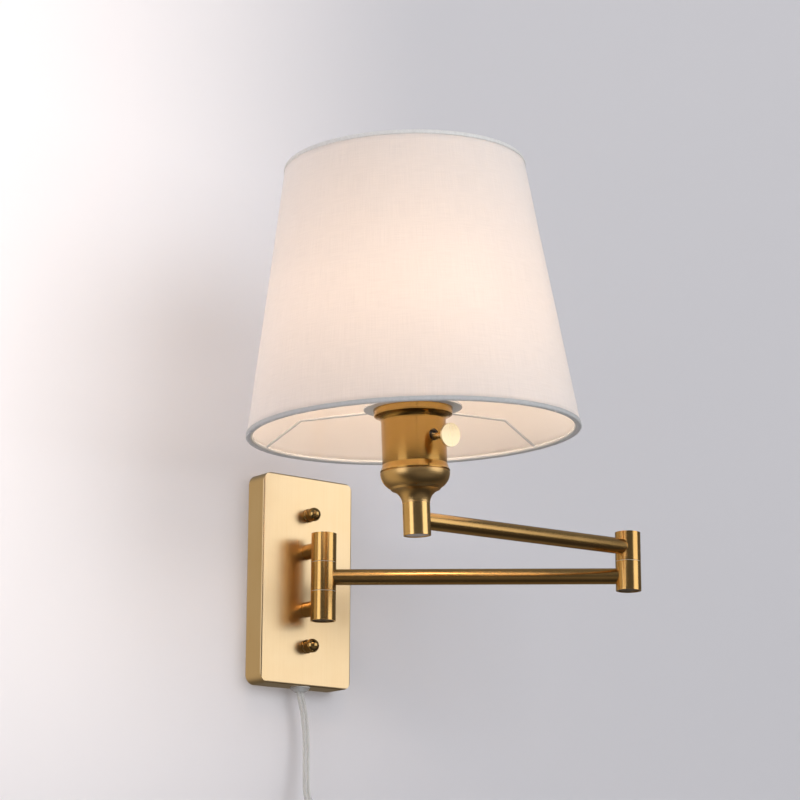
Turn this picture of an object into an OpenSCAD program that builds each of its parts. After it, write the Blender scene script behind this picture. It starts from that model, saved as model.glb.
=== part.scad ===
// Swing arm wall sconce: a backplate, two arms on upright pivots, a lamp socket and a tapered drum shade.
// The origin is the middle of the backplate where it meets the wall. The wall is the plane y = 0, and the
// sconce stands out from it towards -Y. +Z is up.

/* [Wall plate] */
// Width of the backplate
plate_w = 87; // [80:1:110]
// Height of the backplate
plate_h = 168; // [160:1:200]
// Depth of the backplate, from the wall to its front
plate_d = 21; // [19:0.5:28]
// Sheet thickness of the backplate
plate_wall = 1.2; // [0.8:0.1:1.6]
// Radius of the backplate's corners
plate_corner = 8; // [4:0.5:12]
// Radius of the backplate's front edge
plate_edge = 1.5; // [1:0.5:3]
// Height of each cap nut above and below the middle
nut_z = 52.7; // [50:0.1:60]
// Distance between the two wall screws
screw_span = 70; // [60:1:80]

/* [Pivots] */
// Diameter of the pivot knuckles and of the stem
knuckle_d = 20; // [18:0.5:22]
// Height of one knuckle with its share of the seams
knuckle_h = 23.2; // [20:0.2:26]
// Distance from the backplate's front to the pivot's axis
pivot_gap = 22; // [18:1:30]
// Diameter of the hollow pivot pins
pin_d = 8; // [6:0.5:9]
// Seam between two knuckles
seam = 0.4; // [0.3:0.05:0.8]
// Diameter of the two posts that hold the pivot
post_d = 12.4; // [10:0.2:14]

/* [Arms] */
// Length of each arm, from axis to axis
arm_l = 240; // [180:5:260]
// Diameter of the arms' tubes
rod_d = 12.6; // [10:0.2:14]
// Wall of the arms' tubes
rod_wall = 1.4; // [1:0.1:2]
// Heading of the lower arm at rest, in degrees from +X
lower_heading = -40; // [-60:1:-20]
// Heading of the upper arm at rest, in degrees from +X
upper_heading = -172; // [-175:1:-150]
// Angle that the upper arm hangs below level
upper_sag = 3; // [0:0.5:3]

/* [Socket] */
// Radius of the socket's body
body_r = 23.5; // [21:0.5:25]
// Radius of the cup's bulge
bulge_r = 25.2; // [23:0.2:27]
// Radius of the socket's lip
lip_r = 28.9; // [27:0.1:30]
// Heading of the switch knob from the upper arm's direction
switch_heading = 82; // [70:1:110]
// Angle that the switch shaft slopes down
switch_slope = 7; // [0:1:8]
// Diameter of the switch knob's disc
knob_d = 17; // [14:0.5:20]

/* [Shade] */
// Diameter of the shade's bottom
shade_bottom_d = 242; // [220:2:260]
// Diameter of the shade's top
shade_top_d = 177; // [160:1:200]
// Height of the shade
shade_h = 202; // [180:1:220]
// Height of the shade's bottom edge above the upper arm's axis
shade_lift = 62.3; // [60:0.1:66]

/* [Cord] */
// Width of the flat cord
cord_d = 6.5; // [6:0.1:7]
// Mean radius of the coil
coil_r = 37.2; // [36:0.1:38]

/* [Hidden] */
$fn = 64;

eps = 0.5;                                  // overshoot of a cutting shape
knuckle_r = knuckle_d / 2;
pin_r = pin_d / 2;
pin_bore_r = pin_r - 1.4;
running = 0.05;                             // radial clearance of a running fit
rod_r = rod_d / 2;
pivot_y = -(plate_d + pivot_gap);
pivot = [0, pivot_y, 0];
elbow = pivot + arm_l * [cos(lower_heading), sin(lower_heading), 0];
half_pivot = 1.5 * knuckle_h;               // half the height of the three wall knuckles
half_seam = seam / 2;
wire_hole_r = 2.6;

// End caps sit in a counterbore of the knuckles
cap_r = 8.6;
cap_recess = 0.7;
cap_t = 1;
counterbore = cap_recess + cap_t;
washer_t = seam - 0.1;

// Wall bracket
strap_w = 24;
strap_t = 2.5;
strap_h = 130;
stud_r = 2.5;
screw_r = 2.5;
shank_r = 4;

// Socket heights, above the upper arm's axis
seat_z = 11.9;                              // stem to cup
bulge_z = 34.2;                             // cup to shell
body_z = 40.3;
groove_z = 70;
lip_z = 76.2;
top_z = 81.1;
skin = 0.8;
switch_z = 58.6;                            // switch shaft's axis where it starts
switch_in = 12;                             // distance of that start from the socket's axis
shaft_r = 2.35;
hole_z = 58.4;
hole_r = 4.3;

// Shade
shade_br = shade_bottom_d / 2;
shade_tr = shade_top_d / 2;
shade_top = shade_lift + shade_h;
fabric_t = 0.8;
liner_t = 0.5;
ring_wire_r = 1.5;
spoke_r = 0.9;
spoke_first = 53;                           // heading of the first of the three spokes
spoke_bend_r = 88.5;
fitter_r = 35.8;

// Cord: the bushing's axis, the coil's centre and the route of the stretch that isn't coiled
bush_y = -13;
bush_t = 4;
cord_start = -plate_h / 2 + 6;
coil_x = 4;
coil_z = -228;
coil_w = 14.6;                              // radial width of the coil's bundle
coil_t = 13.6;                              // the bundle's size across the wall's face
tie_heading = 68;
tail_x = 46.3;
plug_top = -250;
ROUTE = [
    [0, -13, -78], [0, -13, -84], [0.4, -13, -90], [1.8, -13, -96], [3.6, -13, -102],
    [5, -13, -110], [6.1, -13, -119], [6.5, -13.2, -128], [6.3, -13.8, -138], [5.6, -15, -148],
    [4.4, -17, -157], [3, -19.4, -165], [3, -21.8, -172], [5.6, -23.2, -178.5], [10.6, -23.6, -185],
    [15.8, -23.6, -191], [21, -23.4, -197.4], [26.2, -22.8, -204], [30.9, -21.2, -210.5],
    [34.4, -18.8, -218],
];
TAIL = [[46.3, -16.3, -228], [46.3, -15.6, -235], [46.3, -14, -243], [46.3, -13, -250]];

// ---- Shapes that repeat ----

module tube(r, bore, h) {
    difference() {
        cylinder(r = r, h = h);
        translate([0, 0, -eps]) cylinder(r = bore, h = h + 2 * eps);
    }
}

module rounded_rect(w, h, r) {
    square([w - 2 * r, h], center = true);
    square([w, h - 2 * r], center = true);
    for (x = [-1, 1], y = [-1, 1]) translate([x * (w / 2 - r), y * (h / 2 - r)]) circle(r);
}

// A slab with rounded corners, standing against the plane y = from and reaching d towards -Y
module slab(w, h, r, from, d) {
    translate([0, from, 0]) rotate([90, 0, 0]) linear_extrude(height = d) rounded_rect(w, h, r);
}

// A cylinder along -Y, from a starting y
module peg(r, z, from, d) {
    translate([0, from, z]) rotate([90, 0, 0]) cylinder(r = r, h = d);
}

module hex_nut(across, bore, h) {
    difference() {
        cylinder(d = across / cos(30), h = h, $fn = 6);
        translate([0, 0, -eps]) cylinder(r = bore, h = h + 2 * eps);
    }
}

module in_lower_arm() {
    translate(pivot) rotate([0, 0, lower_heading]) children();
}

// The upper arm's frame: X runs along its tube, and its origin is on the elbow's axis
module in_upper_arm() {
    translate(elbow + [0, 0, knuckle_h]) rotate([0, upper_sag, upper_heading]) children();
}

// The head's frame: Z runs up the middle of the stem, the socket and the shade
module in_head() {
    in_upper_arm() translate([arm_l, 0, 0]) children();
}

// The switch's frame: Z runs out along its shaft
module in_switch() {
    in_head() rotate([0, 0, switch_heading]) translate([switch_in, 0, switch_z])
        rotate([0, 90 + switch_slope, 0]) children();
}

function arc(cx, cy, r, from, to, n) =
    [for (i = [0:n]) let (a = from + (to - from) * i / n) [cx + r * cos(a), cy + r * sin(a)]];

// One knuckle, from its foot up, with a counterbore for a cap at its foot or its top
module knuckle(h, bore, foot_cap = false, top_cap = false) {
    difference() {
        cylinder(r = knuckle_r, h = h);
        translate([0, 0, -eps]) cylinder(r = bore, h = h + 2 * eps);
        if (foot_cap) translate([0, 0, -eps]) cylinder(r = cap_r, h = counterbore + eps);
        if (top_cap) translate([0, 0, h - counterbore]) cylinder(r = cap_r, h = counterbore + eps);
    }
}

module end_cap() {
    cylinder(r = cap_r, h = cap_t);
}

// Rings of points round a route, and the closed tube through them
function unit(v) = v / norm(v);
function tangent(p, i) = unit(p[min(i + 1, len(p) - 1)] - p[max(i - 1, 0)]);
function ring(p, i, r, n) =
    let (t = tangent(p, i), u = unit(cross(t, [0.2, 1, 0.1])), v = cross(u, t))
    [for (k = [0:n - 1]) p[i] + r * cos(360 * k / n) * u + r * sin(360 * k / n) * v];

module swept(p, r, n = 10) {
    rings = len(p);
    points = [for (i = [0:rings - 1]) each ring(p, i, r, n)];
    sides = [for (i = [0:rings - 2], k = [0:n - 1])
        [i * n + k, (i + 1) * n + k, (i + 1) * n + (k + 1) % n, i * n + (k + 1) % n]];
    ends = [[for (k = [0:n - 1]) k], [for (k = [n - 1:-1:0]) (rings - 1) * n + k]];
    polyhedron(points = points, faces = concat(sides, ends), convexity = 6);
}

// ---- Wall plate ----

module wall_bracket() {
    color("silver") difference() {
        slab(strap_w, strap_h, 4, 0, strap_t);
        for (s = [-1, 1]) {
            peg(stud_r, s * nut_z, eps, strap_t + 2 * eps);
            peg(screw_r, s * screw_span / 2, eps, strap_t + 2 * eps);
        }
    }
}

module bracket_studs() {
    color("silver") for (s = [-1, 1]) peg(stud_r, s * nut_z, -0.2, plate_d + 8.8);
}

module backplate() {
    inside_w = plate_w - 2 * plate_wall;
    inside_h = plate_h - 2 * plate_wall;
    color("#d9b36a") difference() {
        intersection() {
            slab(plate_w, plate_h, plate_corner, 0, plate_d);
            rotate([0, 90, 0]) translate([0, 0, -plate_w]) linear_extrude(height = 2 * plate_w)
                rounded_rect(plate_h, 2 * plate_d, plate_edge);
            translate([0, 0, -plate_h]) linear_extrude(height = 2 * plate_h)
                rounded_rect(plate_w, 2 * plate_d, plate_edge);
        }
        slab(inside_w, inside_h, plate_corner - plate_wall, eps, plate_d - plate_wall + eps);
        for (s = [-1, 1]) {
            peg(stud_r + 0.2, s * nut_z, 0, plate_d + eps);
            peg(shank_r, s * knuckle_h, 0, plate_d + eps);
        }
        translate([0, bush_y, -plate_h / 2 - eps]) cylinder(r = 5.6, h = 4);
    }
}

// A cap nut: a collar, a groove, a short barrel and a round dome, on a blind bore
module cap_nuts() {
    dome_r = 5.5;
    barrel = 7.8;
    outline = concat(
        [[0, 0], [dome_r, 0], [dome_r, 1.8], [4.6, 2.3], [4.6, 3], [5.2, 3.5]],
        arc(0, barrel, dome_r, -20, 90, 14));
    color("#a8812f") for (s = [-1, 1]) translate([0, -plate_d, s * nut_z]) rotate([90, 0, 0])
        difference() {
            rotate_extrude() polygon(outline);
            translate([0, 0, -eps]) cylinder(r = stud_r, h = 9 + eps);
        }
}

module pivot_posts() {
    shank = 6;
    color("#d0a24f") for (s = [-1, 1]) difference() {
        union() {
            peg(post_d / 2, s * knuckle_h, -plate_d, pivot_gap);
            peg(shank_r, s * knuckle_h, -plate_d + shank, shank);
        }
        peg(wire_hole_r, s * knuckle_h, -plate_d + shank + eps, pivot_gap + shank + 2 * eps);
        translate([0, pivot_y, s * knuckle_h - knuckle_h]) cylinder(r = knuckle_r, h = 2 * knuckle_h);
    }
}

module post_nuts() {
    color("silver") for (s = [-1, 1])
        translate([0, -plate_d + plate_wall + 3.2, s * knuckle_h]) rotate([90, 0, 0])
            hex_nut(12, shank_r, 3.2);
}

// A knuckle that a post holds, with the hole that lets the wires in from the post
module held_knuckle(foot, foot_cap, top_cap) {
    h = knuckle_h - half_seam;
    color("#d0a24f") difference() {
        translate([0, pivot_y, foot]) knuckle(h, pin_r, foot_cap, top_cap);
        peg(wire_hole_r, foot + knuckle_h / 2, pivot_y + knuckle_r + eps, knuckle_r);
    }
}

module upper_pivot_knuckle() {
    held_knuckle(knuckle_h / 2 + half_seam, false, true);
}

module lower_pivot_knuckle() {
    held_knuckle(-half_pivot, true, false);
}

module pivot_pin() {
    reach = half_pivot - counterbore;
    color("silver") difference() {
        translate([0, pivot_y, -reach]) tube(pin_r, pin_bore_r, 2 * reach);
        translate([0, pivot_y, -4]) rotate([0, 0, lower_heading])
            translate([0, -2, 0]) cube([pin_d, 4, 8]);
    }
}

module pivot_end_caps() {
    color("#3a3027") {
        translate([0, pivot_y, -half_pivot + cap_recess]) end_cap();
        translate([0, pivot_y, half_pivot - counterbore]) end_cap();
    }
}

module pivot_washers() {
    color("ivory") for (s = [-1, 1])
        translate([0, pivot_y, s * knuckle_h / 2 - washer_t / 2]) tube(knuckle_r - 0.5, pin_r, washer_t);
}

// ---- Supply ----

// A clear bushing: a barb inside the plate, a neck in its hole and a tapered collar below it
module strain_relief() {
    outline = [
        [cord_d / 2, 3.4], [6.8, 3.4], [7, plate_wall], [5.6, plate_wall], [5.6, 0],
        [8.2, 0], [8.2, -0.8], [4.4, -bush_t], [cord_d / 2, -bush_t],
    ];
    color("white", 0.6) translate([0, bush_y, -plate_h / 2]) rotate_extrude() polygon(outline);
}

module wire_connectors() {
    color("ivory") for (s = [-1, 1]) translate([s * 24, -11, -62])
        difference() {
            cylinder(r1 = 5.5, r2 = 3.6, h = 17);
            translate([0, 0, -eps]) cylinder(r = 3, h = 10);
        }
}

module lead_wires() {
    color("gold") for (s = [-1, 1]) {
        swept([[s * 1.6, -13, -78], [s * 3.5, -13, -74], [s * 9, -12.6, -70.5], [s * 16, -12, -70],
            [s * 21.5, -11.4, -67.5], [s * 23, -11, -62], [s * 23, -11, -53]], 1, 8);
        swept([[s * 25, -11, -53], [s * 25.4, -11, -62], [s * 27, -11, -68], [s * 31, -11, -69.5],
            [s * 34, -11, -65], [s * 34.5, -11, -54], [s * 33, -11, -34], [s * 27, -11, -10],
            [s * 15, -11, 8], [s * 5, -11.4, 19], [s * 1.2, -13, 22.6], [s * 1.2, -17, 23.2],
            [s * 1.2, -30, 23.2]], 1, 8);
    }
}

module power_cord() {
    color("white") swept(ROUTE, cord_d / 2, 12);
}

module cord_tail() {
    color("white") swept(TAIL, cord_d / 2, 12);
}

module cord_coil() {
    corner = 3;
    color("white") translate([coil_x, bush_y, coil_z]) rotate([90, 0, 0])
        rotate_extrude() translate([coil_r, 0]) rounded_rect(coil_w, coil_t, corner);
}

// A strap round the coil's bundle and the stretch of cord that crosses in front of it
module cord_tie() {
    strap = 1.2;
    front = cord_d + 0.9;
    depth = coil_t + front;
    color("white") translate([coil_x, bush_y, coil_z]) rotate([0, -tie_heading, 0])
        translate([coil_r, -front / 2, -3.5]) linear_extrude(height = 7) difference() {
            rounded_rect(coil_w + 2 * strap, depth + 2 * strap, 4);
            rounded_rect(coil_w, depth, 2.8);
        }
}

// Two flat blades, 12.7 apart, in a moulded body with a tapered neck
module plug_body() {
    color("white") translate([tail_x, bush_y, plug_top]) difference() {
        union() {
            translate([0, 0, -14]) cylinder(r1 = 6.5, r2 = 4.4, h = 14);
            translate([0, 0, -38]) linear_extrude(height = 25) rounded_rect(25, 14, 5);
        }
        translate([0, 0, -8]) cylinder(r = cord_d / 2, h = 8 + eps);
    }
}

module plug_blades() {
    color("gold") for (s = [-1, 1]) translate([tail_x + s * 6.35, bush_y, plug_top - 38 - 17])
        difference() {
            translate([-0.75, -3.15, 0]) cube([1.5, 6.3, 17]);
            translate([-1, 0, 4.5]) rotate([0, 90, 0]) cylinder(r = 1.6, h = 2);
        }
}

// ---- Lower arm ----

module middle_pivot_knuckle() {
    h = knuckle_h - seam;
    color("#d0a24f") in_lower_arm() difference() {
        translate([0, 0, -h / 2]) knuckle(h, pin_r + running);
        rotate([0, 90, 0]) cylinder(r = wire_hole_r, h = knuckle_r + eps);
    }
}

module lower_arm_tube() {
    color("#c9983f") in_lower_arm() difference() {
        rotate([0, 90, 0]) tube(rod_r, rod_r - rod_wall, arm_l);
        for (x = [0, arm_l]) translate([x, 0, -knuckle_h]) cylinder(r = knuckle_r, h = 2 * knuckle_h);
    }
}

module lower_arm_wire() {
    color("white") in_lower_arm() translate([knuckle_r + 1, 0, 0]) rotate([0, 90, 0])
        cylinder(r = 2.2, h = arm_l - 2 * knuckle_r - 2);
}

module elbow_lower_knuckle() {
    color("#d0a24f") in_lower_arm() difference() {
        translate([arm_l, 0, -knuckle_h / 2]) knuckle(knuckle_h - half_seam, pin_r, true, false);
        translate([arm_l - knuckle_r - eps, 0, 0]) rotate([0, 90, 0])
            cylinder(r = wire_hole_r, h = knuckle_r);
    }
}

module elbow_pin() {
    foot = -knuckle_h / 2 + counterbore;
    top = half_pivot - counterbore - 0.2;
    color("silver") difference() {
        translate(elbow + [0, 0, foot]) tube(pin_r, pin_bore_r, top - foot);
        for (z = [0, knuckle_h]) translate(elbow + [0, 0, z - 4]) rotate([0, 0, lower_heading + 180])
            translate([0, -2, 0]) cube([pin_d, 4, 8]);
    }
}

module elbow_bottom_cap() {
    color("#3a3027") translate(elbow + [0, 0, -knuckle_h / 2 + cap_recess]) end_cap();
}

module elbow_washer() {
    color("ivory") translate(elbow + [0, 0, knuckle_h / 2 - washer_t / 2])
        tube(knuckle_r - 0.5, pin_r, washer_t);
}

// ---- Upper arm and head ----

module elbow_upper_knuckle() {
    color("#d0a24f") difference() {
        translate(elbow + [0, 0, knuckle_h / 2 + half_seam])
            knuckle(knuckle_h - half_seam, pin_r + running, false, true);
        in_upper_arm() rotate([0, 90, 0]) cylinder(r = wire_hole_r, h = knuckle_r + 1);
    }
}

module elbow_top_cap() {
    color("#3a3027") translate(elbow + [0, 0, half_pivot - counterbore]) end_cap();
}

module upper_arm_tube() {
    color("#c9983f") difference() {
        in_upper_arm() rotate([0, 90, 0]) tube(rod_r, rod_r - rod_wall, arm_l);
        translate(elbow) cylinder(r = knuckle_r, h = 2 * knuckle_h);
        in_head() translate([0, 0, -knuckle_h]) cylinder(r = knuckle_r, h = 2 * knuckle_h);
    }
}

module upper_arm_wire() {
    color("white") in_upper_arm() translate([knuckle_r + 2, 0, 0]) rotate([0, 90, 0])
        cylinder(r = 2.2, h = arm_l - 2 * knuckle_r - 3);
}

module stem() {
    foot = -knuckle_h / 2;
    color("#d0a24f") in_head() difference() {
        translate([0, 0, foot]) knuckle(seat_z - foot, 5, true, false);
        translate([-knuckle_r - eps, 0, 0]) rotate([0, 90, 0]) cylinder(r = wire_hole_r, h = knuckle_r);
    }
}

module stem_cap() {
    color("#d8cfc4") in_head() translate([0, 0, -knuckle_h / 2 + cap_recess]) end_cap();
}

module socket_nipple() {
    color("silver") in_head() translate([0, 0, 4]) tube(5, 3.4, 16);
}

module nipple_nut() {
    color("silver") in_head() translate([0, 0, seat_z + skin]) hex_nut(14, 5, 4);
}

// The cup flares from the stem in a hollow curve and swells to the bulge in a round one
module socket_cup() {
    flare = arc(20.5, seat_z - 0.4, 10.5, 178, 106, 8);
    swell = arc(bulge_r - 12, bulge_z - 0.4, 12, -62, 0, 10);
    flare_in = arc(20.5, seat_z - 0.4, 10.5 + skin, 106, 174, 8);
    swell_in = arc(bulge_r - 12, bulge_z - 0.4, 12 - skin, 0, -60, 10);
    outline = concat([[5, seat_z], [knuckle_r, seat_z]], flare, swell,
        [[bulge_r, bulge_z], [bulge_r - skin, bulge_z]], swell_in, flare_in, [[5, seat_z + skin]]);
    color("#c9983f") in_head() rotate_extrude() polygon(outline);
}

// The shell steps in from the bulge to the body and flares out to the lip
module socket_shell() {
    outer = concat(
        [[bulge_r - 0.5, bulge_z], [bulge_r, bulge_z + 0.5], [bulge_r, bulge_z + 1.4],
         [bulge_r - 0.9, 37.3], [body_r, body_z], [body_r, groove_z]],
        arc(body_r + 4.2, groove_z + 1.4, 4.2, 180, 100, 6),
        [[lip_r - 0.5, lip_z], [lip_r - 0.3, lip_z + 1.2], [lip_r, top_z]]);
    inner = [for (i = [len(outer) - 1:-1:0]) outer[i] - [skin, 0]];
    color("#c9983f") in_head() difference() {
        rotate_extrude() polygon(concat(outer, inner));
        rotate([0, 0, switch_heading]) translate([body_r - 3, 0, hole_z]) rotate([0, 90, 0])
            cylinder(r = hole_r, h = 6);
    }
}

module socket_insulator() {
    color("#3a3027") in_head() difference() {
        translate([0, 0, body_z]) tube(body_r - 1, body_r - 1.8, groove_z - body_z);
        rotate([0, 0, switch_heading]) translate([body_r - 4, 0, hole_z]) rotate([0, 90, 0])
            cylinder(r = hole_r, h = 6);
    }
}

module switch_block() {
    color("#2b2622") difference() {
        in_head() translate([0, 0, bulge_z + 1]) cylinder(r = 20.4, h = 62 - bulge_z - 1);
        in_switch() translate([0, 0, -0.2]) cylinder(r = shaft_r + running, h = 12);
    }
}

module screw_shell() {
    color("gold") in_head() translate([0, 0, 64]) tube(14.2, 13.3, 16);
}

module centre_contact() {
    color("gold") in_head() translate([0, 0, 62]) cylinder(r = 3, h = 1.4);
}

module bulb_base() {
    outline = [[0, 63.4], [4.5, 63.4], [5.5, 65], [12.6, 68], [13, 69], [13, 90], [0, 90]];
    color("silver") in_head() rotate_extrude() polygon(outline);
}

// A round bulb on a neck, hollow
module bulb_glass() {
    glass_t = 1;
    round_r = 30;
    round_z = 138;
    neck = [[13, 90], [14, 97], [17.5, 108], [22.4, 118]];
    outer = concat(neck, arc(0, round_z, round_r, -39, 90, 18));
    inner = concat(arc(0, round_z, round_r - glass_t, 90, -39, 18),
        [for (i = [len(neck) - 1:-1:1]) neck[i] - [glass_t, 0]], [[12, 91], [0, 91], [0, 90]]);
    color("ivory", 0.6) in_head() rotate_extrude() polygon(concat([[0, 90]], outer, inner));
}

module fitter_ring() {
    color("white") in_head() translate([0, 0, top_z]) tube(fitter_r, 19, 1.2);
}

module shade_clamp_ring() {
    color("white") in_head() translate([0, 0, top_z + 1.2]) tube(24, 19, 3);
}

function shade_r(z) = shade_br + (shade_tr - shade_br) * (z - shade_lift) / shade_h;
ring_inset = fabric_t + liner_t + ring_wire_r + 0.1;
bottom_ring_z = shade_lift + ring_wire_r + 0.3;
top_ring_z = shade_top - ring_wire_r - 0.3;
bottom_ring_r = shade_r(bottom_ring_z) - ring_inset;
top_ring_r = shade_r(top_ring_z) - ring_inset - 0.4;

// Three wires run out level from the fitter ring and bend down to the bottom ring
module shade_spokes() {
    level = top_z + 0.6;
    drop = [bottom_ring_r - spoke_bend_r, bottom_ring_z - level];
    slope = atan2(drop[0], drop[1]);
    color("#dcdcdc") in_head() for (i = [0:2]) rotate([0, 0, spoke_first + 120 * i]) {
        translate([fitter_r - 0.6, 0, level]) rotate([0, 90, 0])
            cylinder(r = spoke_r, h = spoke_bend_r - fitter_r + 0.6);
        translate([spoke_bend_r, 0, level]) sphere(r = spoke_r + 0.1);
        translate([spoke_bend_r, 0, level]) rotate([0, slope, 0])
            cylinder(r = spoke_r, h = norm(drop) - ring_wire_r + 0.2);
    }
}

module shade_hoop(r, z) {
    color("#dcdcdc") in_head() rotate_extrude() translate([r, z]) circle(ring_wire_r);
}

module shade_bottom_ring() {
    shade_hoop(bottom_ring_r, bottom_ring_z);
}

module shade_top_ring() {
    shade_hoop(top_ring_r, top_ring_z);
}

// A conical sheet of the shade, between two depths from its outer face and two heights
module shade_sheet(near, far, low, high) {
    in_head() rotate_extrude() polygon([
        [shade_r(low) - near, low], [shade_r(high) - near, high],
        [shade_r(high) - far, high], [shade_r(low) - far, low]]);
}

module shade_fabric() {
    color("white") shade_sheet(0, fabric_t, shade_lift, shade_top);
}

module shade_liner() {
    color("ivory") shade_sheet(fabric_t, fabric_t + liner_t, shade_lift, shade_top);
}

module shade_trim() {
    trim_h = 4;
    trim_t = 0.5;
    color("#e6e4e2") {
        shade_sheet(-trim_t, 0, shade_lift, shade_lift + trim_h);
        shade_sheet(-trim_t, 0, shade_top - trim_h, shade_top);
    }
}

// ---- Switch ----

module switch_shaft() {
    color("#c9983f") in_switch() cylinder(r = shaft_r, h = 29);
}

module switch_disc() {
    color("#e3c27a") in_switch() translate([0, 0, 29]) cylinder(d = knob_d, h = 1.6);
}

wall_bracket();
bracket_studs();
backplate();
cap_nuts();
pivot_posts();
post_nuts();
upper_pivot_knuckle();
lower_pivot_knuckle();
pivot_pin();
pivot_end_caps();
pivot_washers();
strain_relief();
wire_connectors();
lead_wires();
power_cord();
cord_coil();
cord_tie();
cord_tail();
plug_body();
plug_blades();
middle_pivot_knuckle();
lower_arm_tube();
lower_arm_wire();
elbow_lower_knuckle();
elbow_pin();
elbow_bottom_cap();
elbow_washer();
elbow_upper_knuckle();
elbow_top_cap();
upper_arm_tube();
upper_arm_wire();
stem();
stem_cap();
socket_nipple();
nipple_nut();
socket_cup();
socket_shell();
socket_insulator();
switch_block();
screw_shell();
centre_contact();
bulb_base();
bulb_glass();
fitter_ring();
shade_clamp_ring();
shade_spokes();
shade_bottom_ring();
shade_top_ring();
shade_fabric();
shade_liner();
shade_trim();
switch_shaft();
switch_disc();
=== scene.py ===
"""Looks of a swing arm wall sconce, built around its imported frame.

The lamp hangs on a wall plate, folds at a wall pivot and at an elbow, and carries a
cloth shade on a brass lamp holder. Sizes are in metres, in the frame's own axes.
"""

from __future__ import annotations

import logging
import math
from dataclasses import dataclass, field
from enum import Enum
from typing import Any, Callable, Sequence

import bmesh
import bpy
from mathutils import Euler, Matrix, Quaternion, Vector, noise


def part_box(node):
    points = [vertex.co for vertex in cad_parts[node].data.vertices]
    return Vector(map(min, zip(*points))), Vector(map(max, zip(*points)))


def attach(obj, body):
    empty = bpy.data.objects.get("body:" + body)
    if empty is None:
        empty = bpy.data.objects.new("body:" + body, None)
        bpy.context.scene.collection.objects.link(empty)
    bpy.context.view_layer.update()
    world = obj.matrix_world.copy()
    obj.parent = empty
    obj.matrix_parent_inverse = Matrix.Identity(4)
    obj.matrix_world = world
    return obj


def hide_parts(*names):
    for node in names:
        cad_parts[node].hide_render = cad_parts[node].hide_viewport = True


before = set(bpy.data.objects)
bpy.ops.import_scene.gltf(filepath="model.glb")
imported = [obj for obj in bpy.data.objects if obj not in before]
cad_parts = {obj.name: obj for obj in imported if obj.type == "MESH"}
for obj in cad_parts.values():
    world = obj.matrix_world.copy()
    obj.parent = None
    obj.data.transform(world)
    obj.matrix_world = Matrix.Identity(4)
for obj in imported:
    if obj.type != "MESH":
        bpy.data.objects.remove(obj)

LOG = logging.getLogger("sconce")
MM = 0.001
MERGE_DISTANCE = 1e-6
Colour = tuple[float, float, float]


class Body(Enum):
    """The parts that move as one."""

    WALL = "wall_mount"
    LOWER_ARM = "lower_arm"
    UPPER_ARM = "upper_arm"
    KNOB = "switch_knob"


class Grain(Enum):
    """Which way a metal was rubbed, as the stretch of its streaks in its own axes."""

    UPRIGHT = (1.0, 1.0, 0.012)
    LENGTHWISE = (0.012, 1.0, 1.0)
    TURNED = (0.004, 0.004, 1.0)


@dataclass(frozen=True)
class Place:
    """Where a part's own axes stand in the frame."""

    origin: tuple[float, float, float] = (0.0, 0.0, 0.0)
    heading: float = 0.0
    lean: float = 0.0

    @property
    def turn(self) -> Euler:
        """The turn from the frame's axes to the part's own."""
        return Euler((0.0, math.radians(self.lean), math.radians(self.heading)), "XYZ")

    @property
    def matrix(self) -> Matrix:
        """The part's own axes as a matrix."""
        return Matrix.Translation(self.origin) @ self.turn.to_matrix().to_4x4()


ARM_LENGTH = 0.240
LOWER_HEADING = -40.0
UPPER_HEADING = -172.0
UPPER_SAG = 3.0
ARM_RISE = 0.0232

PIVOT = Vector((0.0, -0.043, 0.0))
ELBOW = PIVOT + ARM_LENGTH * Vector(
    (math.cos(math.radians(LOWER_HEADING)), math.sin(math.radians(LOWER_HEADING)), 0.0)
)
WALL_PLACE = Place()
LOWER_ARM_PLACE = Place(tuple(PIVOT), LOWER_HEADING)
UPPER_ARM_PLACE = Place(tuple(ELBOW + Vector((0, 0, ARM_RISE))), UPPER_HEADING, UPPER_SAG)
HEAD_PLACE = Place(tuple(UPPER_ARM_PLACE.matrix @ Vector((ARM_LENGTH, 0, 0))), UPPER_HEADING, UPPER_SAG)


# ---- Shader building ----


def operator(operation: str, reflected: bool = False) -> Callable[[Wire, Any], Wire]:
    """Makes a Python operator that adds one Math node.

    Args:
        operation: The node's operation.
        reflected: Whether the wire stands to the operator's right.

    Returns:
        The method for the operator.
    """

    def apply(wire: Wire, other: Any) -> Wire:
        """Adds the node for one use of the operator."""
        first, second = (other, wire) if reflected else (wire, other)
        sockets = {"Value": first, "Value_001": second}
        return wire.paint.node("ShaderNodeMath", {"operation": operation}, sockets)

    return apply


class Wire:
    """A shader socket that grows Math nodes as it is used in an expression."""

    __add__ = __radd__ = operator("ADD")
    __sub__ = operator("SUBTRACT")
    __rsub__ = operator("SUBTRACT", reflected=True)
    __mul__ = __rmul__ = operator("MULTIPLY")
    __truediv__ = operator("DIVIDE")
    __pow__ = operator("POWER")

    def __init__(self, paint: Paint, socket: bpy.types.NodeSocket) -> None:
        """Wraps one output socket of a paint's tree."""
        self.paint = paint
        self.socket = socket

    def call(self, operation: str, other: Any = 0.0) -> Wire:
        """Applies a named Math operation, such as SINE or ABSOLUTE."""
        return operator(operation)(self, other)

    def ramp(self, low: float, high: float) -> Wire:
        """Eases from 0 at low to 1 at high."""
        return self.paint.node(
            "ShaderNodeMapRange",
            {"interpolation_type": "SMOOTHSTEP"},
            {"Value": self, "From Min": low, "From Max": high},
        )


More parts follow.
